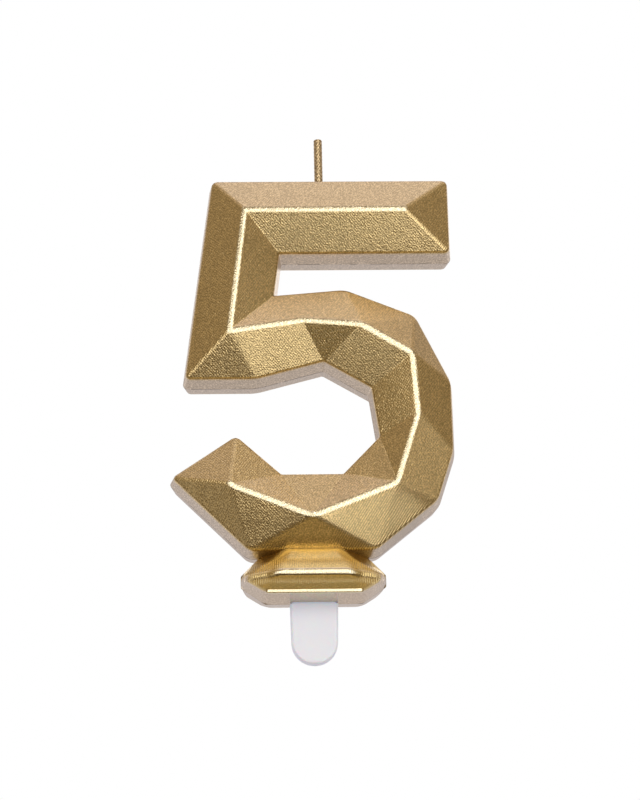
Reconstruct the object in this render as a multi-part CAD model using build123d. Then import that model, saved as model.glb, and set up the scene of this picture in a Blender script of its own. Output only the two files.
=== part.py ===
from build123d import *
import math
import os

# A faceted wax birthday candle in the shape of a 5. Each wax piece is a front and a rear
# casting that meet on the parting plane Y = 0. +Z is up and the front faces -Y. The origin
# is the middle of the foot's underside, on the parting line. Lengths are millimetres.

# ---- driving dimensions ----
NUMBER_HALF_DEPTH = 4.1      # parting plane to the shoulder outline of the 5
NUMBER_DRAFT = 0.5           # how far the outline grows from shoulder to parting plane
PEDESTAL_HALF_DEPTH = 5.5
PEDESTAL_CREST_HEIGHT = 3.7  # crest above the foot's shoulder outline

WICK_X = 2.4
WICK_FOOT_Z = 66.8           # bottom of the wick inside the top bar
WICK_TIP_Z = 90.7
CORE_RADIUS = 0.3
CORE_STICKS_OUT = 0.2        # core above the braid at the burnt end
BRAID_RADIUS = 0.8
WICK_CHANNEL_RADIUS = 0.83
COLLAR_RADIUS = 1.5          # at the bar's top
COLLAR_LIP = 0.15            # thickness of the collar's upper end, past the channel
COLLAR_HEIGHT = 0.7

TONGUE_THICKNESS = 2.2       # the part of the pick that shows
TONGUE_WIDTH = 8.5           # at the foot's underside
TONGUE_TIP_WIDTH = 8.2       # where the round end starts
TONGUE_TIP_Z = -11.0
TONGUE_TOP_Z = -0.02         # shoulder that stops against the foot
TONGUE_EDGE_RADIUS = 0.45
BLADE_THICKNESS = 1.7        # the part of the pick inside the wax
BLADE_WIDTH = 7.6
BLADE_TOP_WIDTH = 6.8
BLADE_TOP_Z = 12.0
BLADE_CHAMFER = 1.0
SLOT_CLEARANCE = 0.06        # round the blade, on each side

# Corners of the 5, as (x, z), clockwise from the top left of the bar
OUTLINE = {
    "bar_top_left": (-17.5, 80.2), "bar_top_right": (26.1, 80.2),
    "bar_low_right": (26.1, 65.6), "armpit": (-5.3, 65.6),
    "neck": (-6.4, 57.25), "brow": (6.6, 58.35), "shoulder": (19.3, 53.1),
    "side_high": (25.4, 40.1), "side_low": (25.4, 27.2), "hip": (22.3, 17.9),
    "foot_right": (11.1, 8.8), "foot_left": (-11.4, 8.8),
    "hook_tip": (-25.0, 22.4), "hook_top": (-13.5, 30.2),
    "hollow_low_left": (-5.5, 22.9), "hollow_low_right": (5.6, 22.9),
    "hollow_right": (12.3, 29.9), "hollow_high_right": (11.0, 39.3),
    "hollow_top": (2.5, 44.4), "stem_low_right": (-9.8, 41.1),
    "stem_low_left": (-22.6, 41.1),
}

# Corners of the raised crest, as (x, z, height above the shoulder outline)
CREST = {
    "bar_left": (-11.6, 73.0, 3.75), "bar_right": (17.7, 73.0, 3.75),
    "stem_foot": (-14.5, 49.1, 3.9), "bowl_1": (-1.5, 51.2, 3.35),
    "bowl_2": (9.4, 50.1, 3.95), "bowl_3": (18.4, 44.5, 3.9),
    "bowl_4": (19.1, 33.5, 3.5), "bowl_5": (14.9, 20.3, 3.4),
    "bowl_6": (-0.2, 14.2, 3.7), "hook": (-14.7, 20.1, 3.7),
}

# Facets between the outline and the crest, each named by its corners in order
FACETS = [
    ("bar_top_left", "bar_top_right", "bar_right", "bar_left"),
    ("bar_top_right", "bar_low_right", "bar_right"),
    ("bar_left", "bar_right", "bar_low_right", "armpit"),
    ("bar_left", "armpit", "neck", "stem_foot"),
    ("bar_top_left", "bar_left", "stem_foot", "stem_low_left"),
    ("stem_foot", "neck", "brow", "bowl_1"),
    ("brow", "bowl_2", "bowl_1"),
    ("brow", "shoulder", "bowl_2"),
    ("shoulder", "bowl_3", "bowl_2"),
    ("shoulder", "side_high", "bowl_3"),
    ("bowl_3", "side_high", "side_low", "bowl_4"),
    ("bowl_4", "side_low", "hip", "bowl_5"),
    ("bowl_5", "hip", "foot_right"),
    ("bowl_5", "foot_right", "bowl_6"),
    ("bowl_6", "foot_right", "foot_left"),
    ("hook", "bowl_6", "foot_left"),
    ("hook", "foot_left", "hook_tip"),
    ("hook", "hook_tip", "hook_top"),
    ("hook", "hook_top", "hollow_low_left"),
    ("hook", "hollow_low_left", "bowl_6"),
    ("bowl_6", "hollow_low_left", "hollow_low_right"),
    ("bowl_6", "hollow_low_right", "bowl_5"),
    ("hollow_low_right", "hollow_right", "bowl_5"),
    ("hollow_right", "bowl_4", "bowl_5"),
    ("hollow_right", "hollow_high_right", "bowl_3", "bowl_4"),
    ("hollow_high_right", "hollow_top", "bowl_2", "bowl_3"),
    ("hollow_top", "bowl_1", "bowl_2"),
    ("bowl_1", "hollow_top", "stem_low_right", "stem_foot"),
    ("stem_foot", "stem_low_right", "stem_low_left"),
]

# Corners of the foot's shoulder outline, clockwise from the top left. Each side corner is
# one point there, and spreads into two points, high and low, on the parting plane.
PEDESTAL_OUTLINE = {
    "top_left": (-4.3, 9.0), "top_right": (4.3, 9.0),
    "side_right_high": (12.6, 3.4), "side_right_low": (12.6, 3.4),
    "low_right": (8.6, 0.9), "low_left": (-8.6, 0.9),
    "side_left_low": (-12.6, 3.4), "side_left_high": (-12.6, 3.4),
}
PEDESTAL_PARTING = {
    "top_left": (-9.2, 9.0), "top_right": (9.2, 9.0),
    "side_right_high": (12.9, 5.2), "side_right_low": (12.9, 3.0),
    "low_right": (8.6, 0.0), "low_left": (-8.6, 0.0),
    "side_left_low": (-12.9, 3.0), "side_left_high": (-12.9, 5.2),
}
PEDESTAL_CREST = {
    "crest_left": (-6.8, 3.2, PEDESTAL_CREST_HEIGHT), "crest_right": (6.8, 3.2, PEDESTAL_CREST_HEIGHT),
}
PEDESTAL_FACETS = [
    ("top_left", "top_right", "crest_right", "crest_left"),
    ("top_right", "side_right_high", "crest_right"),
    ("side_right_low", "low_right", "crest_right"),
    ("low_right", "low_left", "crest_left", "crest_right"),
    ("low_left", "side_left_low", "crest_left"),
    ("side_left_high", "top_left", "crest_left"),
]


def grown(outline, distance):
    """Clockwise outline with every side moved out by distance, its corners kept sharp."""
    corners = list(outline.values())
    result = {}
    for i, name in enumerate(outline):
        before, here, after = corners[i - 1], corners[i], corners[(i + 1) % len(corners)]
        normals = []
        for start, end in ((before, here), (here, after)):
            run = math.dist(start, end)
            normals.append((-(end[1] - start[1]) / run, (end[0] - start[0]) / run))
        (ax, az), (bx, bz) = normals
        reach = distance / (1 + ax * bx + az * bz)
        result[name] = (here[0] + (ax + bx) * reach, here[1] + (az + bz) * reach)
    return result


def fan(corners):
    """Triangles that fill a facet whose corners may be a hair out of flat, or may coincide."""
    corners = [p for i, p in enumerate(corners) if p != corners[i - 1]]
    return [[corners[0], corners[i], corners[i + 1]] for i in range(1, len(corners) - 1)]


def front_half(outline, parting_outline, crest, facets, half_depth):
    """Closed solid from the parting plane to the crest, with drafted side walls."""
    shoulder = {name: (x, -half_depth, z) for name, (x, z) in outline.items()}
    parting = {name: (x, 0, z) for name, (x, z) in parting_outline.items()}
    raised = {name: (x, -half_depth - height, z) for name, (x, z, height) in crest.items()}
    front = shoulder | raised
    polygons = [list(parting.values())]
    for facet in facets:
        polygons += fan([front[name] for name in facet])
    names = list(outline)
    for a, b in zip(names, names[1:] + names[:1]):
        polygons += fan([shoulder[a], shoulder[b], parting[b], parting[a]])
    faces = [Face(Wire.make_polygon([Vector(*p) for p in points], close=True)) for points in polygons]
    return Solid(Shell(faces)).clean()


def tongue_outline():
    """Face of the tongue in the XZ plane: slightly tapered, with a round lower end."""
    low, seat = TONGUE_TIP_WIDTH / 2, TONGUE_WIDTH / 2
    end_z = TONGUE_TIP_Z + low
    with BuildSketch(Plane.XZ) as sketch:
        with BuildLine():
            Polyline((low, end_z), (seat, TONGUE_TOP_Z), (-seat, TONGUE_TOP_Z), (-low, end_z))
            ThreePointArc((-low, end_z), (0, TONGUE_TIP_Z), (low, end_z))
        make_face()
    return sketch.sketch


def blade(clearance=0.0):
    """Tapered blade with chamfered upper corners, or the slot for it if clearance is given."""
    foot, top = BLADE_WIDTH / 2 + clearance, BLADE_TOP_WIDTH / 2 + clearance
    top_z = BLADE_TOP_Z + clearance
    with BuildSketch(Plane.XZ) as sketch:
        Polygon((-foot, TONGUE_TOP_Z), (foot, TONGUE_TOP_Z), (top, top_z - BLADE_CHAMFER),
                (top - BLADE_CHAMFER, top_z), (BLADE_CHAMFER - top, top_z),
                (-top, top_z - BLADE_CHAMFER), align=None)
    return extrude(sketch.sketch, BLADE_THICKNESS / 2 + clearance, both=True)


def slot():
    """Space in the wax for the blade."""
    return blade(SLOT_CLEARANCE)


def wick_channel():
    """Space in the top bar for the wick."""
    height = WICK_TIP_Z - WICK_FOOT_Z
    channel = Cylinder(WICK_CHANNEL_RADIUS, height, align=(Align.CENTER, Align.CENTER, Align.MIN))
    return Pos(WICK_X, 0, WICK_FOOT_Z) * channel


def number_half():
    """Front casting of the 5, with its halves of the pick slot and wick channel."""
    return whole_number_half() - slot() - wick_channel()


def whole_number_half():
    """Front casting of the 5 before anything is let into it."""
    return front_half(OUTLINE, grown(OUTLINE, NUMBER_DRAFT), CREST, FACETS, NUMBER_HALF_DEPTH)


def pedestal_half():
    """Front casting of the foot, hollowed on top where the 5 stands in it."""
    gem = front_half(PEDESTAL_OUTLINE, PEDESTAL_PARTING, PEDESTAL_CREST, PEDESTAL_FACETS,
                     PEDESTAL_HALF_DEPTH)
    return gem - whole_number_half() - slot()


def wick_core():
    """Core yarn, standing slightly proud of the braid at the tip."""
    height = WICK_TIP_Z - WICK_FOOT_Z
    yarn = Cylinder(CORE_RADIUS, height, align=(Align.CENTER, Align.CENTER, Align.MIN))
    return Pos(WICK_X, 0, WICK_FOOT_Z) * yarn


def wick_braid():
    """Braided sleeve round the core, with a rounded upper end."""
    height = WICK_TIP_Z - CORE_STICKS_OUT - WICK_FOOT_Z
    sleeve = Cylinder(BRAID_RADIUS, height, align=(Align.CENTER, Align.CENTER, Align.MIN))
    sleeve = fillet(sleeve.edges().group_by(Axis.Z)[-1], BRAID_RADIUS / 4)
    return Pos(WICK_X, 0, WICK_FOOT_Z) * sleeve - wick_core()


def wick_collar():
    """Ring of set wax that meets the bar's top and closes round the wick."""
    ridge_z = OUTLINE["bar_top_left"][1] + NUMBER_DRAFT
    below = NUMBER_DRAFT
    cone = Cone(COLLAR_RADIUS, WICK_CHANNEL_RADIUS + COLLAR_LIP, COLLAR_HEIGHT + below,
                align=(Align.CENTER, Align.CENTER, Align.MIN))
    bar = whole_number_half()
    return Pos(WICK_X, 0, ridge_z - below) * cone - wick_channel() - bar - mirror(bar, about=Plane.XZ)


def cake_pick():
    """Flat plastic pick: the round tongue goes into the cake, the blade into the wax."""
    tongue = extrude(tongue_outline(), TONGUE_THICKNESS / 2, both=True)
    rim = tongue.edges().filter_by(Axis.Y, reverse=True).sort_by(Axis.Z)[:-2]
    return fillet(rim, TONGUE_EDGE_RADIUS) + blade()


number_front = number_half()
pedestal_front = pedestal_half()
PARTS = {
    "number_front_half": number_front,
    "number_rear_half": mirror(number_front, about=Plane.XZ),
    "pedestal_front_half": pedestal_front,
    "pedestal_rear_half": mirror(pedestal_front, about=Plane.XZ),
    "wick_core": wick_core(),
    "wick_braid": wick_braid(),
    "wick_collar": wick_collar(),
    "cake_pick": cake_pick(),
}

os.makedirs("parts", exist_ok=True)
for name, part in PARTS.items():
    export_step(part, f"parts/{name}.step")
    print(name, round(part.volume, 1), "mm3")
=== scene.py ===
# %% [markdown]
# # A faceted gold number candle, finished in Blender
# The CAD model fixes every size. It is loaded first, as a frame, and each piece below
# goes where that frame says. Lengths are metres, Z is up, and the figure faces -Y.

# %% Load the frame and keep its box
import math

import bmesh
import bpy
import numpy as np
from mathutils import Matrix, Vector


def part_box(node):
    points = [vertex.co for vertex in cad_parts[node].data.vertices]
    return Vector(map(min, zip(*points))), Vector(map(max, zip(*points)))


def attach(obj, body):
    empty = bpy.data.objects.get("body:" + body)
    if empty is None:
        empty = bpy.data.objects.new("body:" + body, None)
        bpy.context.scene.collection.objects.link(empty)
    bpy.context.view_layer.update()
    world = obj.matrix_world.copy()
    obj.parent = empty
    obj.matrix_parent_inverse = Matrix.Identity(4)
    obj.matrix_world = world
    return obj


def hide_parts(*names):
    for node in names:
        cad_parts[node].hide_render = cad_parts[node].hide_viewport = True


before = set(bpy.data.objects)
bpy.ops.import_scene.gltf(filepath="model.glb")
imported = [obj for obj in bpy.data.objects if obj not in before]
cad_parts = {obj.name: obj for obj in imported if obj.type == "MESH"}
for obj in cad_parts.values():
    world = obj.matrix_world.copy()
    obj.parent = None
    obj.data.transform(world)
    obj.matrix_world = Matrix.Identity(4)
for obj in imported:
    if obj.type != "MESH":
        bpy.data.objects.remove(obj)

MM = 0.001
scene = bpy.context.scene
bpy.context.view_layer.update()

# %% [markdown]
# ## Wax castings: rounding what the mould left
# The 5 and its foot are each two wax castings, front and rear, that meet on the plane Y = 0.
# The CAD solids have knife-sharp edges, but cast wax is rounded: most on the raised crest,
# less round the rim, and barely in the valleys. The rounding could be sculpted or remeshed,
# but then the flat facets would wobble. Here a copy of the CAD mesh gets its loose triangles
# merged into whole facets, each edge gets a bevel weight for what it is, and one Bevel
# modifier rounds them all. A Weighted Normal modifier after it keeps the big facets flat
# beside their rounded edges. The line where the two halves meet stays sharp.

# %% Bevel width of each kind of edge
WIDEST = 1.3 * MM
NUMBER_EDGES = {
    "crest": 0.74 * MM,         # along the raised middle of a stroke
    "ridge": 0.46 * MM,         # between two facets, from the crest to the rim
    "valley": 0.12 * MM,        # the same, where the facets meet in a hollow
    "rim": 0.36 * MM,           # between a facet and the side wall
    "corner": 1.0 * MM,         # between two side walls
    "inner corner": 0.30 * MM,  # the same, where the outline turns in
}
FOOT_EDGES = NUMBER_EDGES | {
    "crest": 1.25 * MM,
    "ridge": 1.0 * MM,
    "rim": 0.5 * MM,
    "upper rim": 1.2 * MM,      # the sloping rim, from the side points up to the number
    "corner": 1.0 * MM,
    "parting": 0.06 * MM,       # where the halves meet: a hair, which keeps the corners whole
}
NUMBER_RIM = 4.1 * MM           # depth of the rim, where facets and side wall meet
FOOT_RIM = 5.5 * MM
UPPER_RIM_Z = 4.5 * MM          # a rim edge of the foot that reaches above this is its upper rim
CREST_STEP = 1 * MM             # the crest is further than this in front of the rim
SIDE_STEP = 1 * MM              # a side point of the foot is nearer than this to its widest
SAME_FACET = math.radians(1.3)  # two faces closer in angle than this are one facet
NEAR = 0.02 * MM


# %% Tell what an edge is
def edge_kind(edge, rim_depth):
    """The kind of an edge, from how far its two ends and its faces stand from the plane Y = 0.

    None is an edge that lies inside the candle, or where the halves meet, but not on a side wall.
    """
    low, high = sorted(abs(v.co.y) for v in edge.verts)
    hollow = edge.calc_face_angle_signed(0.0) < 0
    reaches = [max(abs(v.co.y) for v in face.verts) for face in edge.link_faces]
    if high < NEAR:
        return "parting" if any(abs(r - rim_depth) < NEAR for r in reaches) else None
    if low < NEAR and abs(high - rim_depth) < NEAR:
        return "inner corner" if hollow else "corner"
    if abs(low - rim_depth) < NEAR and abs(high - rim_depth) < NEAR:
        sloping_foot = rim_depth == FOOT_RIM and max(v.co.z for v in edge.verts) > UPPER_RIM_Z
        return "upper rim" if sloping_foot else "rim"
    if low > rim_depth + CREST_STEP:
        return "crest"
    if abs(low - rim_depth) < NEAR:
        return "valley" if hollow else "ridge"
    return None


# %% Copy a casting, merge its facets and weigh its edges
def weighed_mesh(node, rim_depth, edge_widths):
    """The CAD node's shape as whole facets, with a bevel weight on each edge that is rounded.

    The attribute "crest" is 1 on the crest line and falls to 0 at the rim. The attribute "beads"
    is the same, but it is also 1 at the two side points, so it follows the ridges out to them.
    """
    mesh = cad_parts[node].data.copy()
    mesh.name = node + "_wax"
    bm = bmesh.new()
    bm.from_mesh(mesh)
    bmesh.ops.remove_doubles(bm, verts=bm.verts, dist=0.001 * MM)
    bmesh.ops.dissolve_limit(bm, angle_limit=SAME_FACET, verts=bm.verts, edges=bm.edges)
    weight = bm.edges.layers.float.new("bevel_weight_edge")
    crest = bm.verts.layers.float.new("crest")
    beads = bm.verts.layers.float.new("beads")
    counts = {}
    for edge in bm.edges:
        kind = edge_kind(edge, rim_depth)
        edge[weight] = edge_widths.get(kind, 0.0) / WIDEST
        edge.smooth = kind in edge_widths
        counts[kind] = counts.get(kind, 0) + 1
    furthest = max(abs(v.co.x) for v in bm.verts)
    for vert in bm.verts:
        vert[crest] = float(abs(vert.co.y) > rim_depth + CREST_STEP)
        at_side = abs(vert.co.x) > furthest - SIDE_STEP and abs(vert.co.y) > rim_depth - NEAR
        vert[beads] = max(vert[crest], float(at_side))
    for face in bm.faces:
        face.smooth = True
    bm.to_mesh(mesh)
    bm.free()
    print(node, "edges:", counts)
    return mesh


# %% Round a casting
def flatten_facets(piece):
    """Normals that follow the largest faces, so that flat stays flat beside a rounded edge."""
    flatten = piece.modifiers.new("flat facets", "WEIGHTED_NORMAL")
    flatten.mode = "FACE_AREA"
    flatten.weight = 100
    flatten.keep_sharp = True


def casting(node, rim_depth, edge_widths):
    """A piece with the shape of a CAD casting, its facets whole and its edges rounded."""
    piece = bpy.data.objects.new(node + "_wax", weighed_mesh(node, rim_depth, edge_widths))
    scene.collection.objects.link(piece)
    bevel = piece.modifiers.new("rounded edges", "BEVEL")
    bevel.limit_method = "WEIGHT"
    bevel.width = WIDEST
    bevel.segments = 5
    bevel.use_clamp_overlap = False
    flatten_facets(piece)
    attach(piece, "candle")
    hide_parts(node)
    return piece


number_front = casting("number_front_half", NUMBER_RIM, NUMBER_EDGES)
number_rear = casting("number_rear_half", NUMBER_RIM, NUMBER_EDGES)
foot_front = casting("pedestal_front_half", FOOT_RIM, FOOT_EDGES)
foot_rear = casting("pedestal_rear_half", FOOT_RIM, FOOT_EDGES)

# %% [markdown]
# ## Surfaces from numpy grids
# The other pieces are round or woven, so each is a surface worked out from a formula: two
# parameters make a grid of points, and the grid becomes quads. A grid can close on itself
# round its columns, as a tube does, and along its rows as well, as a ring does.


# %% Grid of points to mesh
def grid_faces(rows, columns, ring):
    """Corner numbers of the quads of a tube of rows by columns, joined end to start if a ring."""
    i, j = np.meshgrid(np.arange(rows if ring else rows - 1), np.arange(columns), indexing="ij")
    up, on = (i + 1) % rows, (j + 1) % columns
    corners = [i * columns + j, i * columns + on, up * columns + on, up * columns + j]
    quads = np.stack(corners, axis=-1)
    return quads.reshape(-1, 4)


def surface(name, points, body, node, ring=False, attributes=None):
    """A piece from an array of tubes x rows x columns x 3 points in metres, capped if not a ring."""
    tubes, rows, columns = points.shape[:3]
    each = grid_faces(rows, columns, ring)
    faces = [list(face) for k in range(tubes) for face in (each + k * rows * columns).tolist()]
    if not ring:
        for k in range(tubes):
            first = k * rows * columns
            faces.append(list(range(first + columns - 1, first - 1, -1)))
            faces.append(list(range(first + (rows - 1) * columns, first + rows * columns)))
    mesh = bpy.data.meshes.new(name)
    mesh.from_pydata(points.reshape(-1, 3).tolist(), [], faces)
    mesh.polygons.foreach_set("use_smooth", [True] * len(mesh.polygons))
    for label, values in (attributes or {}).items():
        mesh.attributes.new(label, "FLOAT", "POINT").data.foreach_set("value", values.ravel())
    piece = bpy.data.objects.new(name, mesh)
    scene.collection.objects.link(piece)
    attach(piece, body)
    if node:
        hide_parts(node)
    print(name, "has", len(mesh.polygons), "faces")
    return piece


# %% [markdown]
# ## Wick: a braid of waxed cotton over a twisted core
# A candle wick is cotton braided on a round machine: half of the yarns wind to the left, half
# to the right, and each goes over one and under the next. It could be sixteen separate tubes,
# but wax fills the gaps between them, so one tube whose radius rises where a yarn passes on
# top looks the same and stays closed. The core is three plies twisted together.

# %% Sizes of the wick, from the frame
braid_low, braid_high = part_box("wick_braid")
core_low, core_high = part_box("wick_core")
wick_x = (braid_low.x + braid_high.x) / 2
braid_radius = (braid_high.x - braid_low.x) / 2
core_radius = (core_high.x - core_low.x) / 2
number_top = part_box("number_front_half")[1].z
print("wick stands out of the number by", round((braid_high.z - number_top) / MM, 2), "mm")


# %% Braid
def braid_points(yarns=8, pitch=6.4 * MM, relief=0.08 * MM, around=112, step=0.075 * MM):
    """Points of a closed braided tube and how proud the yarn stands at each.

    A point at angle a and height z is on a left-hand yarn's middle where
    yarns * (a / 2 pi + z / pitch) is whole, and on a right-hand one's where
    yarns * (a / 2 pi - z / pitch) is. The yarn's crown is the absolute cosine of pi times that
    number. The cosines of the sum and the difference of the two, multiplied, tell which yarn is
    on top there. The rows run up outside, over the rounded end and back down the hole that the
    core fills.
    """
    a = np.linspace(0, 2 * np.pi, around, endpoint=False)
    z = np.arange(braid_low.z, braid_high.z - relief, step)
    angle, height = np.meshgrid(a, z)
    left = yarns * (angle / (2 * np.pi) + height / pitch)
    right = yarns * (angle / (2 * np.pi) - height / pitch)
    on_top = 0.5 + 0.5 * np.cos(np.pi * (left + right)) * np.cos(np.pi * (left - right))
    crown = np.maximum(np.abs(np.cos(np.pi * left)) * (0.55 + 0.45 * on_top),
                       np.abs(np.cos(np.pi * right)) * (1.0 - 0.45 * on_top))
    radius = braid_radius - relief * (1 - crown)
    turn = np.linspace(0.1, 1, 8)[:, None] * np.pi / 2
    rim = braid_radius - core_radius - relief
    end_radius = core_radius + rim * np.cos(turn) ** 0.6 * np.ones_like(a) + 0.3 * relief * crown[-1]
    end_height = braid_high.z - relief + relief * np.sin(turn) * np.ones_like(a)
    bore = np.full((2, around), 1.05 * core_radius)
    bore_height = np.array([[braid_high.z - relief], [braid_low.z]]) * np.ones_like(a)
    radius = np.vstack([radius, end_radius, bore])
    height = np.vstack([height, end_height, bore_height])
    angle = np.ones_like(radius) * a
    crown = np.vstack([crown, 0.5 * np.ones_like(end_radius), 0 * bore])
    points = np.stack([wick_x + radius * np.cos(angle), radius * np.sin(angle), height], axis=-1)
    return points[None], crown


points, crown = braid_points()
braid = surface("waxed_braid", points, "candle", "wick_braid", ring=True,
                attributes={"strand": crown})


# %% Core yarn
def core_points(plies=3, twist=2.2 * MM, around=12, step=0.1 * MM):
    """Points of the plies: round tubes whose middles wind about the axis at half the radius."""
    z = np.arange(core_low.z, core_high.z, step)
    ply = np.arange(plies)[:, None, None] * 2 * np.pi / plies
    along = ply + 2 * np.pi * z[None, :, None] / twist
    across = np.linspace(0, 2 * np.pi, around, endpoint=False)[None, None, :]
    r = 0.5 * core_radius
    x = wick_x + r * np.cos(along) + r * np.cos(across)
    y = r * np.sin(along) + r * np.sin(across)
    height = np.broadcast_to(z[None, :, None], x.shape)
    return np.stack([x, y, height], axis=-1)


core = surface("core_yarn", core_points(), "candle", "wick_core")

# %% [markdown]
# ## Collar: wax that climbed the wick
# Wax that sets round a wick wets it and climbs a little, so its profile is hollow, like
# water against glass. That profile is turned about the wick, and its edge wanders, because
# nobody trims it.

# %% Collar
collar_low, collar_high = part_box("wick_collar")
collar_radius = (collar_high.x - collar_low.x) / 2
SUNK = 0.05 * MM                 # the collar's underside is this far inside the number


def collar_points(around=72, rows=16):
    """Points of a ring whose height falls as the power 2.4 of the way out, on an edge that wanders.

    The edge's radius adds a cosine of two and of three times the angle to an even circle.
    """
    a = np.linspace(0, 2 * np.pi, around, endpoint=False)
    out = np.linspace(0, 1, rows)[:, None]
    inner = 0.97 * braid_radius
    edge = collar_radius * (0.93 + 0.04 * np.cos(2 * a + 1.1) + 0.03 * np.cos(3 * a + 2.5))
    radius = inner + (edge - inner) * out
    height = collar_low.z + (collar_high.z - collar_low.z) * (1 - out) ** 2.4 * np.ones_like(a)
    below = collar_low.z - SUNK
    radius = np.vstack([radius, edge, inner * np.ones_like(a)])[::-1]
    height = np.vstack([height, below * np.ones_like(a), below * np.ones_like(a)])[::-1]
    points = np.stack([wick_x + radius * np.cos(a), radius * np.sin(a), height], axis=-1)
    return points[None]


collar = surface("wax_collar", collar_points(), "candle", "wick_collar", ring=True)

# %% [markdown]
# ## Lip of the foot
# Where the mould's bottom plate met its front half, the wax ran into the gap and left a low
# square lip along the foot's lower front edge. It is a rounded bar: one superellipse carried
# along the edge, and it closes quickly at its two ends. Its pale gold is a painted highlight:
# it stands for the bright line along that edge.

# %% Lip
foot_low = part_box("pedestal_front_half")[0]
LIP_HALF_LENGTH = 8.7 * MM
LIP_HEIGHT = 0.40 * MM           # half of it
LIP_DEPTH = 0.42 * MM            # half of it
LIP_MIDDLE = 0.92 * MM           # above the foot's lowest line


def lip_points(around=32, rows=60):
    """Points of a bar along X whose section is a superellipse of power 4, round at its ends."""
    t = np.linspace(-1, 1, rows)[:, None]
    size = np.clip(1 - np.abs(t) ** 30, 0.02, 1) ** 0.5
    a = np.linspace(0, 2 * np.pi, around, endpoint=False)
    y = LIP_DEPTH * np.sign(np.cos(a)) * np.abs(np.cos(a)) ** 0.5
    z = LIP_HEIGHT * np.sign(np.sin(a)) * np.abs(np.sin(a)) ** 0.5
    x = LIP_HALF_LENGTH * t * np.ones_like(a)
    return np.stack([x, y * size - FOOT_RIM, foot_low.z + LIP_MIDDLE + z * size], axis=-1)[None]


lip = surface("foot_lip", lip_points(), "candle", None)

# %% [markdown]
# ## Cake pick
# The pick is moulded plastic in one piece: a wide tongue that goes in the cake, and above a
# small shoulder a thinner blade that goes in the wax. It is one stack of rounded rectangles,
# each with its own half width, half thickness and corner radius, so the round tip, the
# shoulder and the chamfer are only rows of the same grid.

# %% Sizes of the pick, from the frame
pick_low, pick_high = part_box("cake_pick")
TONGUE_HALF = (pick_high.x - pick_low.x) / 2
TONGUE_DEPTH = (pick_high.y - pick_low.y) / 2
TIP_HALF = TONGUE_HALF - 0.15 * MM
EDGE = 0.45 * MM                 # rounding of the tongue's edges
SHOULDER_Z = -0.02 * MM          # top of the tongue, a hair under the foot
BLADE_HALF, BLADE_TOP_HALF, BLADE_DEPTH = 3.8 * MM, 3.4 * MM, 0.85 * MM
CHAMFER = 1.0 * MM               # cut off the blade's two top corners
SOFT = 0.12 * MM                 # rounding of all other edges
print("pick from", round(pick_low.z / MM, 2), "to", round(pick_high.z / MM, 2), "mm")


# %% Rows of the pick
def pick_rows():
    """Height, half width, half depth and corner radius of every section, from the tip up."""
    turn = np.linspace(0.02, np.pi / 2, 30)
    rise = TIP_HALF * (1 - np.cos(turn))
    depth = TONGUE_DEPTH - EDGE + np.sqrt(EDGE**2 - np.clip(EDGE - rise, 0, None) ** 2)
    tip = np.stack([pick_low.z + rise, TIP_HALF * np.sin(turn), depth, np.full(30, EDGE)], axis=-1)
    blade_top = BLADE_TOP_HALF - CHAMFER
    upper = [
        (SHOULDER_Z - SOFT, TONGUE_HALF, TONGUE_DEPTH, EDGE),
        (SHOULDER_Z - 0.3 * SOFT, TONGUE_HALF - 0.3 * SOFT, TONGUE_DEPTH - 0.3 * SOFT, EDGE),
        (SHOULDER_Z, TONGUE_HALF - SOFT, TONGUE_DEPTH - SOFT, EDGE),
        (SHOULDER_Z, BLADE_HALF + SOFT, BLADE_DEPTH + SOFT, 2 * SOFT),
        (SHOULDER_Z + SOFT, BLADE_HALF, BLADE_DEPTH, SOFT),
        (pick_high.z - CHAMFER - SOFT, BLADE_TOP_HALF, BLADE_DEPTH, SOFT),
        (pick_high.z - CHAMFER + SOFT, BLADE_TOP_HALF - SOFT, BLADE_DEPTH, SOFT),
        (pick_high.z - SOFT, blade_top + SOFT, BLADE_DEPTH, SOFT),
        (pick_high.z - 0.3 * SOFT, blade_top, BLADE_DEPTH - 0.3 * SOFT, SOFT),
        (pick_high.z, blade_top - SOFT, BLADE_DEPTH - SOFT, SOFT),
    ]
    return np.vstack([tip, upper])


# %% Pick
def pick_points(corner_steps=9):
    """Points of the stack: in each section, four quarter circles about the corner centres."""
    z, half, depth, corner = (column[:, None] for column in pick_rows().T)
    corner = np.minimum(corner, np.minimum(half, depth))
    quarter = np.linspace(0, np.pi / 2, corner_steps)
    a = np.concatenate([quarter + k * np.pi / 2 for k in range(4)])
    side_x = np.repeat([1, -1, -1, 1], corner_steps)
    side_y = np.repeat([1, 1, -1, -1], corner_steps)
    x = side_x * (half - corner) + corner * np.cos(a)
    y = side_y * (depth - corner) + corner * np.sin(a)
    return np.stack([x, y, z * np.ones_like(a)], axis=-1)[None]


pick = surface("plastic_pick", pick_points(), "pick", "cake_pick")
flatten_facets(pick)

# %% [markdown]
# ## Helpers for shader nodes
# A material is a small graph. These helpers keep each step to one line: add a node, set its
# unlinked sockets, and link the rest.


# %% Node helpers
def add(tree, kind, inputs=None, **settings):
    """A new shader node with its settings made, and its inputs set or linked by name or number."""
    node = tree.nodes.new("ShaderNode" + kind)
    for name, value in settings.items():
        setattr(node, name, value)
    for name, value in (inputs or {}).items():
        if isinstance(value, bpy.types.NodeSocket):
            tree.links.new(value, node.inputs[name])
        else:
            node.inputs[name].default_value = value
    return node


def math_node(tree, operation, *values):
    """Result of a Math node on up to three values or sockets."""
    return add(tree, "Math", dict(enumerate(values)), operation=operation).outputs[0]


def remap(tree, value, low, high, to_low=0.0, to_high=1.0, smooth=True):
    """Value moved from one range to another, held at both ends."""
    kind = "SMOOTHSTEP" if smooth else "LINEAR"
    inputs = {"Value": value, "From Min": low, "From Max": high, "To Min": to_low, "To Max": to_high}
    return add(tree, "MapRange", inputs, interpolation_type=kind).outputs[0]


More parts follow.
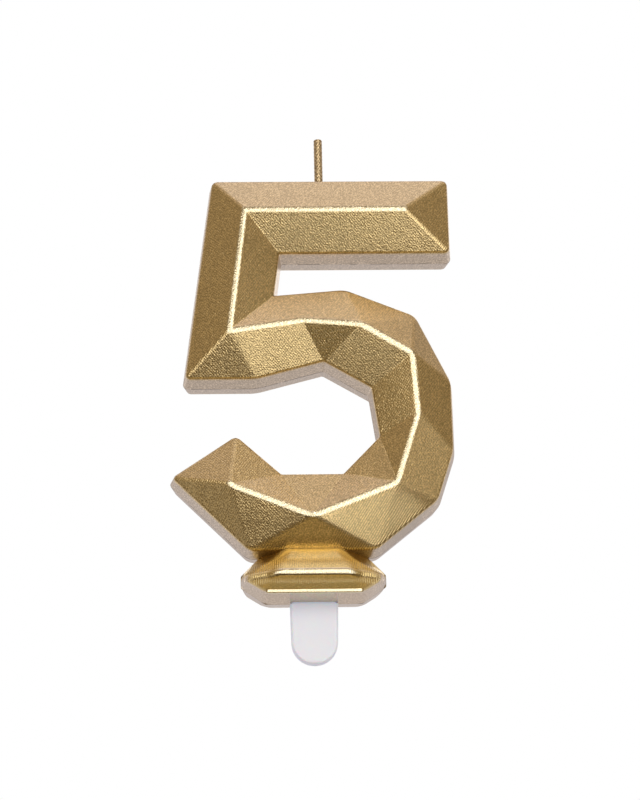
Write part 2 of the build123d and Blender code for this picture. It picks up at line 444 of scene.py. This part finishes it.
def mix_colors(tree, factor, a, b, blend="MIX"):
    """Colour b laid over colour a by a factor."""
    node = add(tree, "Mix", data_type="RGBA", blend_type=blend)
    for socket, value in zip((node.inputs[0], node.inputs[6], node.inputs[7]), (factor, a, b)):
        if isinstance(value, bpy.types.NodeSocket):
            tree.links.new(value, socket)
        else:
            socket.default_value = value
    return node.outputs[2]


def new_material(name):
    """An empty material, its tree and its output node."""
    material = bpy.data.materials.new(name)
    material.use_nodes = True
    material.node_tree.nodes.clear()
    return material, material.node_tree, add(material.node_tree, "OutputMaterial")


def new_group(name, inputs, outputs):
    """An empty node group with number inputs and typed outputs, and its two end nodes."""
    tree = bpy.data.node_groups.new(name, "ShaderNodeTree")
    for label, value in inputs.items():
        socket = tree.interface.new_socket(label, in_out="INPUT", socket_type="NodeSocketFloat")
        socket.default_value = value
    for label, kind in outputs.items():
        tree.interface.new_socket(label, in_out="OUTPUT", socket_type="NodeSocket" + kind)
    return tree, tree.nodes.new("NodeGroupInput"), tree.nodes.new("NodeGroupOutput")


# %% [markdown]
# ## Sprayed metallic coat
# The wax is sprayed with bronze-flake lacquer. Close up it is sandy: each fleck lies at its
# own tilt, so the coat sparkles where a lamp's edge is reflected. Under the coat the master
# of the mould was milled, which left fine crossed tool marks at about 45 degrees. They are
# deepest on the bowl's lower right, where the cutter turned, and beside them the coat is
# painted darker towards the right, as painted shade. The foot was milled upright, which left
# its ridges beaded, and the beads are painted lighter, as painted glints. A painted image could
# show all this from one side only, so it is height and tone worked out from the place on the
# object, in one group that every gold piece can use at its own strength.


# %% Milled lines
def milled_lines(tree, place, wavelength, tilt):
    """Straight sine bands, a little wandering, along lines that rise at a tilt in the XZ plane."""
    spin = add(tree, "Mapping", {"Vector": place, "Rotation": (0, math.radians(tilt - 90), 0)})
    bands = add(tree, "TexWave", {"Vector": spin.outputs[0], "Scale": 2 * math.pi / 20 / wavelength,
                                  "Distortion": 2.4, "Detail": 1.0, "Detail Scale": 0.35})
    return bands.outputs["Fac"]


# %% Coat group
DEEP_MARKS = (13 * MM, -6 * MM, 9 * MM)  # where the cutter turned and bit deeper
DEEP_FROM, DEEP_FULL = 11.5 * MM, 7.5 * MM  # distances from there
RIGHT_SHADE_FROM, RIGHT_SHADE_FULL = 10 * MM, 15 * MM  # the X where the deep marks' coat is painted darker, as painted shade
MARK_SPACING, BEAD_SPACING = 0.38 * MM, 0.32 * MM
SAND_HEIGHT, MARK_HEIGHT, BEAD_HEIGHT = 0.055 * MM, 0.014 * MM, 0.07 * MM


def coat_group():
    """Height in metres and flake tone, 0 to 1, of the sprayed coat, from Object coordinates; the
    tone also holds painted shade beside the deep marks and painted glints on the beads.
    """
    inputs = {"Grain": 1.0, "Tool marks": 1.0, "Beads": 0.0}
    tree, start, end = new_group("sprayed coat", inputs, {"Height": "Float", "Tone": "Float"})
    place = add(tree, "TexCoord").outputs["Object"]
    coarse = add(tree, "TexNoise", {"Vector": place, "Scale": 3200, "Detail": 0.0}).outputs["Fac"]
    fine = add(tree, "TexNoise", {"Vector": place, "Scale": 5600, "Detail": 0.0}).outputs["Fac"]
    flakes = math_node(tree, "MULTIPLY", math_node(tree, "ADD", coarse, fine), 0.5)
    up_right = milled_lines(tree, place, MARK_SPACING, 57)
    up_left = milled_lines(tree, place, MARK_SPACING, -45)
    away = add(tree, "VectorMath", {0: place, 1: DEEP_MARKS}, operation="DISTANCE").outputs["Value"]
    deep = remap(tree, away, DEEP_FROM, DEEP_FULL)
    across = add(tree, "SeparateXYZ", {0: place}).outputs[0]
    # Painted shade: beside the deep marks the coat is painted darker towards the right.
    right_painted_shade = math_node(tree, "MULTIPLY", deep, remap(tree, across, RIGHT_SHADE_FROM, RIGHT_SHADE_FULL))
    left_share = remap(tree, deep, 0.0, 1.0, 0.6, 0.1, smooth=False)
    lines = math_node(tree, "MULTIPLY_ADD", up_left, left_share, up_right)
    lines = math_node(tree, "SUBTRACT", lines, 0.5)
    patches = add(tree, "TexNoise", {"Vector": place, "Scale": 110, "Detail": 1.0}).outputs["Fac"]
    patch = remap(tree, patches, 0.35, 0.6, 0.45, 1.0)
    depth = math_node(tree, "MULTIPLY_ADD", deep, 2.3, patch)
    marks = math_node(tree, "MULTIPLY", lines, depth)
    marks = math_node(tree, "MULTIPLY", marks, start.outputs["Tool marks"])
    upright = milled_lines(tree, place, BEAD_SPACING, 90)
    beads = math_node(tree, "MULTIPLY", upright, start.outputs["Beads"])
    even = remap(tree, deep, 0.0, 1.0, 1.0, 0.5, smooth=False)
    sand = math_node(tree, "MULTIPLY", flakes, even)
    sand = math_node(tree, "MULTIPLY", sand, start.outputs["Grain"])
    height = math_node(tree, "MULTIPLY", sand, SAND_HEIGHT)
    height = math_node(tree, "MULTIPLY_ADD", marks, MARK_HEIGHT, height)
    height = math_node(tree, "MULTIPLY_ADD", beads, BEAD_HEIGHT, height)
    tree.links.new(height, end.inputs["Height"])
    tone = math_node(tree, "MULTIPLY_ADD", marks, 0.13, flakes)
    tone = math_node(tree, "MULTIPLY_ADD", right_painted_shade, -0.14, tone)
    # Painted glints: the beads are painted lighter, standing for highlights on the foot's ridges.
    tree.links.new(math_node(tree, "MULTIPLY_ADD", beads, 0.45, tone), end.inputs["Tone"])
    return tree


COAT = coat_group()
print(COAT.name, "has", len(COAT.nodes), "nodes")

# %% [markdown]
# ## Parting line
# Where the two halves meet, the coat doesn't reach the bottom of the gap, so a thin dark line
# runs round the side walls. Wax closed the gap here and there, and noise breaks the line.


# %% Parting line group
def seam_group():
    """Mask of the parting line: a hair's breadth each side of the plane Y = 0, broken by noise."""
    tree, start, end = new_group("parting line", {"Half width": 0.1 * MM}, {"Mask": "Float"})
    place = add(tree, "TexCoord").outputs["Object"]
    depth = math_node(tree, "ABSOLUTE", add(tree, "SeparateXYZ", {0: place}).outputs[1])
    near = math_node(tree, "LESS_THAN", depth, start.outputs["Half width"])
    gaps = add(tree, "TexNoise", {"Vector": place, "Scale": 420, "Detail": 2.0}).outputs["Fac"]
    broken = remap(tree, gaps, 0.42, 0.48)
    tree.links.new(math_node(tree, "MULTIPLY", near, broken), end.inputs["Mask"])
    return tree


SEAM = seam_group()
print(SEAM.name, "has", len(SEAM.nodes), "nodes")

# %% [markdown]
# ## Gold lacquer
# One coat, but not one colour. The side walls are a paler, greyish gold: painted reflection of
# the pale floor that they mirror. The foot's upper slopes are a deeper gold, partly their own
# colour and partly painted reflection of the gold beside them, and the crevice under the number
# is painted brown as painted shade. The crest is rubbed smooth and painted pale, partly wear
# and partly painted highlight.
# Each of these is a mask from the place on the object or from what the mesh carries on its
# points, so it holds from every side. They mix colours for one metallic shader.

# %% Gold colours
GOLD = (0.79, 0.612, 0.32)
RED_GOLD = (0.80, 0.62, 0.29)
# Partly painted reflection: the foot's upper slopes, deeper gold partly of their own and partly as
# gold mirrors gold.
TOP_GOLD_AND_REFLECTION = (0.81, 0.61, 0.23)
# Partly painted highlight: the pale gold of the rubbed crest and of the lip.
PALE_HIGHLIGHT_GOLD = (0.84, 0.745, 0.53)
# Painted reflection: the side walls' paler, greyish gold stands for the pale floor they mirror.
WALL_REFLECTION_GOLD = (0.77, 0.65, 0.50)
SEAM_BROWN = (0.20, 0.145, 0.09)
# Painted shade: brown painted into the crevice where the number meets the foot.
CREVICE_SHADE_BROWN = (0.46, 0.33, 0.15)
CREVICE_Z, CREVICE_RISE = 9.2 * MM, 2.4 * MM  # where the number meets the foot, and fades out above
CREVICE_HALF, CREVICE_END = 8 * MM, 10.5 * MM  # from the middle, along X


# %% Gold lacquer
def attribute(tree, name):
    """A number that the mesh carries on its points."""
    return add(tree, "Attribute", attribute_name=name, attribute_type="GEOMETRY").outputs["Fac"]


def gold_wax(name, color, rim_depth, worn_highlight_at, wall_reflection_color=None, wall_top=1.0, top_color_and_reflection=None,
             grain=1.0, marks=1.0, beads=0.0, roughness=0.28, contrast=0.3, shade=0.0,
             seam_width=0.05 * MM):
    """Bronze-flake lacquer, with painted reflection on the side walls and painted highlight on the
    crest.

    The walls are all that lies nearer to the plane Y = 0 than the rim, and below wall_top, and
    their colour is painted reflection. What is above wall_top has the top colour, partly painted
    reflection. The crest is rubbed smooth and painted pale, partly wear and partly painted
    highlight, where its attribute passes the given threshold, and has no tool marks there. Grain,
    marks and beads are strengths for the coat group, and the beads fade on the middle of the
    crest. Contrast is how much the tone of one flake varies, shade is how dark the painted shade
    in the crevice is, and seam_width is half the width of the parting line.
    """
    material, tree, out = new_material(name)
    axes = add(tree, "SeparateXYZ", {0: add(tree, "TexCoord").outputs["Object"]})
    depth = math_node(tree, "ABSOLUTE", axes.outputs[1])
    low = remap(tree, axes.outputs[2], wall_top, wall_top - 1 * MM)
    wall = math_node(tree, "MULTIPLY", low, remap(tree, depth, rim_depth, rim_depth - 0.9 * MM))
    worn_and_painted_highlight = remap(tree, attribute(tree, "crest"), worn_highlight_at, worn_highlight_at + 0.05)
    plain = math_node(tree, "MAXIMUM", wall, worn_and_painted_highlight)
    coat = add(tree, "Group", {"Grain": grain}, node_tree=COAT)
    tree.links.new(remap(tree, plain, 0.0, 1.0, marks, 0.0, smooth=False), coat.inputs["Tool marks"])
    if beads:
        along = remap(tree, attribute(tree, "beads"), 0.35, 0.60, 0.0, beads)
        off_crest = remap(tree, attribute(tree, "crest"), 0.80, 0.50, 0.12, 1.0)
        tree.links.new(math_node(tree, "MULTIPLY", along, off_crest), coat.inputs["Beads"])
    bump = add(tree, "Bump", {"Strength": 1.0, "Distance": 1.0, "Height": coat.outputs["Height"]})
    # Partly painted reflection: above wall_top the foot gets its deeper top colour.
    front = mix_colors(tree, low, (top_color_and_reflection or color) + (1,), color + (1,))
    # Painted reflection: the side walls get the paler, greyish wall colour.
    tint = mix_colors(tree, wall, front, (wall_reflection_color or color) + (1,))
    # Partly painted highlight: the rubbed crest is painted pale.
    tint = mix_colors(tree, worn_and_painted_highlight, tint, PALE_HIGHLIGHT_GOLD + (1,))
    # Painted shade: the crevice where the number meets the foot is painted brown, as strongly as
    # shade asks.
    from_middle = math_node(tree, "ABSOLUTE", axes.outputs[0])
    above_foot = remap(tree, axes.outputs[2], CREVICE_Z + CREVICE_RISE, CREVICE_Z)
    between = remap(tree, from_middle, CREVICE_END, CREVICE_HALF)
    crevice = math_node(tree, "MULTIPLY", above_foot, between)
    crevice_painted_shade = math_node(tree, "MULTIPLY", crevice, shade)
    tint = mix_colors(tree, crevice_painted_shade, tint, CREVICE_SHADE_BROWN + (1,))
    seam = add(tree, "Group", {"Half width": seam_width}, node_tree=SEAM).outputs[0]
    tint = mix_colors(tree, seam, tint, SEAM_BROWN + (1,))
    darkest, palest = 1 - contrast, 1 + contrast
    tone = remap(tree, coat.outputs["Tone"], 0.42, 0.76, darkest, palest, smooth=False)
    gray = add(tree, "CombineXYZ", {0: tone, 1: tone, 2: tone}).outputs[0]
    base = mix_colors(tree, 1.0, tint, gray, blend="MULTIPLY")
    rough = remap(tree, worn_and_painted_highlight, 0.0, 1.0, roughness, 0.7 * roughness, smooth=False)
    inputs = {"Base Color": base, "Metallic": 1.0, "Roughness": rough, "Normal": bump.outputs[0]}
    tree.links.new(add(tree, "BsdfPrincipled", inputs).outputs[0], out.inputs[0])
    return material


# %% Dress the castings, the lip and the collar
number_gold = gold_wax("gold_lacquer_number", GOLD, NUMBER_RIM, 0.90, WALL_REFLECTION_GOLD, shade=0.6,
                       seam_width=0.11 * MM)
foot_gold = gold_wax("gold_lacquer_foot", RED_GOLD, FOOT_RIM, 0.80, WALL_REFLECTION_GOLD, wall_top=4.6 * MM,
                     top_color_and_reflection=TOP_GOLD_AND_REFLECTION, grain=0.5, marks=0.2, beads=1.0, roughness=0.24,
                     contrast=0.15, seam_width=0.03 * MM)
# Painted highlight: the lip is pale gold, standing for the bright line along the foot's lower front
# edge.
lip_painted_highlight = gold_wax("gold_lacquer_lip_painted_highlight", PALE_HIGHLIGHT_GOLD, FOOT_RIM, 0.60, grain=0.4, marks=0.0,
                    roughness=0.22, contrast=0.1)


def dress(piece, material):
    """Give a piece one material."""
    piece.data.materials.clear()
    piece.data.materials.append(material)
    print(piece.name, "wears", material.name)


for coat, pieces in ((number_gold, (number_front, number_rear, collar)),
                     (foot_gold, (foot_front, foot_rear)), (lip_painted_highlight, (lip,))):
    for piece in pieces:
        dress(piece, coat)

# %% [markdown]
# ## Waxed cotton
# The braid was sprayed together with the wax, so its yarns are gold. The hollows between them
# are painted brown as painted shade. The mesh carries how proud each point stands, and the
# material reads that. The core yarn shows at the wick's end, which was cut after the spraying,
# so it is undyed cotton.


# %% Waxed braid
def waxed_braid():
    """The same coat over cotton: the hollows between the yarns are painted browner than their
    crowns, as painted shade.
    """
    material, tree, out = new_material("gold_waxed_braid")
    coat = add(tree, "Group", {"Grain": 1.0, "Tool marks": 0.0}, node_tree=COAT)
    bump = add(tree, "Bump", {"Strength": 1.0, "Distance": 1.0, "Height": coat.outputs["Height"]})
    crown = remap(tree, attribute(tree, "strand"), 0.35, 0.95)
    # Painted shade: the hollows between the yarns are painted brown, the crowns gold.
    tint = mix_colors(tree, crown, (0.50, 0.39, 0.24, 1), (0.90, 0.71, 0.43, 1))
    tone = remap(tree, coat.outputs["Tone"], 0.4, 0.62, 0.55, 1.15, smooth=False)
    gray = add(tree, "CombineXYZ", {0: tone, 1: tone, 2: tone}).outputs[0]
    base = mix_colors(tree, 1.0, tint, gray, blend="MULTIPLY")
    inputs = {"Base Color": base, "Metallic": 0.85, "Roughness": 0.36, "Normal": bump.outputs[0]}
    tree.links.new(add(tree, "BsdfPrincipled", inputs).outputs[0], out.inputs[0])
    return material


dress(braid, waxed_braid())


# %% Core yarn
def cotton_yarn():
    """Undyed cotton, with fine hairs along it as streaks of tone and height."""
    material, tree, out = new_material("waxed_cotton_yarn")
    place = add(tree, "TexCoord").outputs["Object"]
    hairs = add(tree, "TexNoise", {"Vector": place, "Scale": 9000, "Detail": 2.0}).outputs["Fac"]
    base = mix_colors(tree, hairs, (0.50, 0.38, 0.22, 1), (0.86, 0.72, 0.48, 1))
    bump = add(tree, "Bump", {"Strength": 0.6, "Distance": 0.04 * MM, "Height": hairs})
    inputs = {"Base Color": base, "Roughness": 0.6, "Normal": bump.outputs[0], "Metallic": 0.3}
    tree.links.new(add(tree, "BsdfPrincipled", inputs).outputs[0], out.inputs[0])
    return material


dress(core, cotton_yarn())

# %% [markdown]
# ## White plastic
# The pick is polypropylene: white, satin, and a little see-through, so light spreads inside
# it and its edges look soft. Subsurface scattering does that. The mould was sand-blasted,
# which leaves a fine even texture, and a few faint rub marks run up the tongue. The material
# also glows a little, in a pale blue: a painted glow that brightens the pick and stands for
# light through the plastic.


# %% White plastic
# Painted glow: the blue of a faint emission that brightens the pick.
PAINTED_GLOW_BLUE = (0.42, 0.60, 1.0, 1)


def white_plastic():
    """Satin white plastic, with a sandy height, rub marks as streaks of roughness and a faint
    painted glow.
    """
    material, tree, out = new_material("white_polypropylene")
    place = add(tree, "TexCoord").outputs["Object"]
    sand = add(tree, "TexNoise", {"Vector": place, "Scale": 4200, "Detail": 1.0}).outputs["Fac"]
    stretch = add(tree, "Mapping", {"Vector": place, "Scale": (1, 1, 0.12)}).outputs[0]
    rubs = add(tree, "TexNoise", {"Vector": stretch, "Scale": 900, "Detail": 2.0}).outputs["Fac"]
    rough = remap(tree, rubs, 0.35, 0.65, 0.30, 0.40)
    clouds = add(tree, "TexNoise", {"Vector": place, "Scale": 160, "Detail": 1.0}).outputs["Fac"]
    base = mix_colors(tree, clouds, (0.92, 0.93, 0.97, 1), (0.96, 0.97, 1.0, 1))
    bump = add(tree, "Bump", {"Strength": 0.5, "Distance": 0.01 * MM, "Height": sand})
    # Painted glow: the faint blue emission brightens the pick, standing for light through the
    # plastic.
    inputs = {"Base Color": base, "Roughness": rough, "Normal": bump.outputs[0], "IOR": 1.49,
              "Subsurface Weight": 0.35, "Subsurface Scale": 0.8 * MM,
              "Emission Color": PAINTED_GLOW_BLUE, "Emission Strength": 0.24}
    tree.links.new(add(tree, "BsdfPrincipled", inputs).outputs[0], out.inputs[0])
    return material


dress(pick, white_plastic())

# %% [markdown]
# ## Stage
# A pale floor and soft light. The camera looks up from a little below the pick, so the floor
# is made to be seen through from underneath, and the gold doesn't mirror it. The floor isn't
# part of the candle.


# %% Floor
def see_through_from_below(name, color):
    """A matt floor that can be looked through from underneath."""
    material, tree, out = new_material(name)
    inputs = {"Base Color": color, "Roughness": 1.0, "Specular IOR Level": 0.0,
              "Emission Color": color, "Emission Strength": 0.28}
    matt = add(tree, "BsdfPrincipled", inputs)
    clear = add(tree, "BsdfTransparent")
    side = add(tree, "NewGeometry").outputs["Backfacing"]
    both = add(tree, "MixShader", {0: side, 1: matt.outputs[0], 2: clear.outputs[0]})
    tree.links.new(both.outputs[0], out.inputs[0])
    return material


bpy.ops.mesh.primitive_plane_add(size=6, location=(0, 0, pick_low.z))
floor = bpy.context.object
floor.name = "floor"
floor.data.materials.append(see_through_from_below("pale floor", (0.97, 0.97, 0.93, 1)))
floor.visible_glossy = False
floor.visible_diffuse = False
floor.visible_shadow = False


# %% [markdown]
# ## Light
# Lacquered facets show the room more than the lamps, so the room is designed like a product
# studio: a dim warm front, with a dark floor edge, and pale cloth overhead and behind. It is
# the world, as colour ramps over height for the front, the sides and the back. The camera
# itself sees plain white instead of the room. Two tall windows stand in front, side by side,
# with a weak fill lamp at each side, a small one overhead and three windows behind, so that no
# side is dull. They are area lamps, because lamps that are near give each facet its own
# gradient. Light linking lets them light the candle's pieces only: so near, each would cut
# the floor with a bright patch.


# %% World
def ramp(tree, factor, stops):
    """A colour ramp from (position, colour) stops."""
    node = add(tree, "ValToRGB", {0: factor})
    elements = node.color_ramp.elements
    while len(elements) < len(stops):
        elements.new(0.5)
    for element, (position, color) in zip(elements, stops):
        element.position = position
        element.color = tuple(color) + (1,)
    return node.outputs[0]


def studio_world():
    """Room light by direction.

    A ramp's positions are the sine of the angle above the horizon, moved from -1..1 to 0..1.
    """
    world = bpy.data.worlds.new("studio")
    scene.world = world
    world.use_nodes = True
    tree = world.node_tree
    tree.nodes.clear()
    out = add(tree, "OutputWorld")
    towards = add(tree, "TexCoord").outputs["Generated"]
    axes = add(tree, "SeparateXYZ", {0: towards})
    height = remap(tree, axes.outputs[2], -1, 1, smooth=False)
    front = ramp(tree, height, [
        (0.0, (0.36, 0.30, 0.19)), (0.09, (0.58, 0.43, 0.20)), (0.16, (0.05, 0.03, 0.006)),
        (0.30, (0.09, 0.058, 0.025)), (0.42, (0.24, 0.175, 0.09)), (0.70, (0.25, 0.18, 0.09)),
        (0.86, (0.41, 0.325, 0.23)), (0.93, (0.60, 0.49, 0.41)), (1.0, (0.82, 0.78, 1.0))])
    side = ramp(tree, height, [
        (0.0, (0.34, 0.29, 0.19)), (0.15, (0.18, 0.14, 0.085)), (0.32, (0.18, 0.135, 0.08)),
        (0.43, (0.36, 0.29, 0.20)), (0.56, (0.23, 0.165, 0.08)), (0.66, (0.21, 0.155, 0.08)),
        (0.76, (0.42, 0.34, 0.24)), (0.86, (0.44, 0.35, 0.25)), (1.0, (0.82, 0.78, 1.0))])
    back = ramp(tree, height, [
        (0.0, (0.34, 0.29, 0.19)), (0.2, (0.67, 0.635, 0.66)), (0.5, (0.66, 0.63, 0.66)),
        (0.75, (0.50, 0.44, 0.42)), (1.0, (0.82, 0.78, 1.0))])
    beside = remap(tree, math_node(tree, "ABSOLUTE", axes.outputs[0]), 0.5, 0.8)
    behind = remap(tree, axes.outputs[1], -0.15, 0.5)
    around = mix_colors(tree, behind, mix_colors(tree, beside, front, side), back)
    seen = add(tree, "LightPath").outputs["Is Camera Ray"]
    lit = add(tree, "Background", {0: around})
    white = add(tree, "Background", {0: (1, 1, 1, 1)})
    both = add(tree, "MixShader", {0: seen, 1: lit.outputs[0], 2: white.outputs[0]})
    tree.links.new(both.outputs[0], out.inputs[0])


studio_world()


# %% Pieces that the windows light
CANDLE_ONLY = bpy.data.collections.new("lit by the windows")
for piece in (number_front, number_rear, foot_front, foot_rear, lip, collar, braid, core, pick):
    CANDLE_ONLY.objects.link(piece)


# %% Windows and fill lamps
CANDLE_MIDDLE = Vector((0, 0, 40 * MM))
DAYLIGHT = (1.0, 0.985, 0.96)


def softbox(name, azimuth, elevation, distance, size, radiance, color=DAYLIGHT):
    """A flat lamp that faces the candle's middle. Power is radiance times pi times its area.

    Azimuth is degrees to the right of the front, and elevation is degrees above the horizon.
    """
    a, e = math.radians(azimuth), math.radians(elevation)
    away = Vector((math.sin(a) * math.cos(e), -math.cos(a) * math.cos(e), math.sin(e)))
    light = bpy.data.lights.new(name, "AREA")
    light.shape = "RECTANGLE"
    light.size, light.size_y = size
    light.energy = radiance * math.pi * size[0] * size[1]
    light.color = color
    lamp = bpy.data.objects.new(name, light)
    lamp.location = CANDLE_MIDDLE + away * distance
    lamp.rotation_euler = away.to_track_quat("Z", "Y").to_euler()
    lamp.visible_camera = False
    lamp.light_linking.receiver_collection = CANDLE_ONLY
    scene.collection.objects.link(lamp)
    print(name, "gives", round(light.energy, 3), "W")


softbox("right_window", 15.5, 7.5, 0.42, (0.22, 0.54), 1.85)
softbox("left_window", -16, 7, 0.42, (0.20, 0.30), 1.75)
softbox("right_fill", 46, 4, 0.42, (0.10, 0.18), 0.5)
softbox("left_fill", -50, -24, 0.42, (0.16, 0.16), 0.35)
softbox("overhead", 18, 73, 0.5, (0.26, 0.20), 0.23, (1.0, 0.98, 1.0))
softbox("rear_window", 172, 36, 0.5, (0.36, 0.30), 1.0)
softbox("rear_right_window", 128, 2, 0.42, (0.14, 0.40), 0.5)
softbox("rear_left_window", -128, 2, 0.42, (0.14, 0.40), 0.5)

# %% [markdown]
# ## Camera
# A long lens a hand's breadth short of half a metre away, which looks up by 20 degrees, so the
# undersides of the facets and the bottoms of the side walls show.

# %% Camera
RISE = math.radians(20.0)           # how far up it looks
TURN = math.radians(-2.2)           # it stands this little to the left of straight in front
DISTANCE = 450 * MM
ROLL = math.radians(-1.2)
aim = Vector((1.66 * MM, -NUMBER_RIM, 36.88 * MM))
camera = bpy.data.objects.new("camera", bpy.data.cameras.new("camera"))
scene.collection.objects.link(camera)
camera.data.sensor_width = 36
camera.data.lens = 112.5
camera.data.clip_start = 0.01
forward = Vector((-math.sin(TURN) * math.cos(RISE), math.cos(TURN) * math.cos(RISE), math.sin(RISE)))
camera.location = aim - forward * DISTANCE
level = forward.to_track_quat("-Z", "Y").to_matrix()
camera.rotation_euler = (level @ Matrix.Rotation(ROLL, 3, "Z")).to_euler()
scene.camera = camera
scene.view_settings.view_transform = "Standard"
print("camera at", [round(value, 3) for value in camera.location])
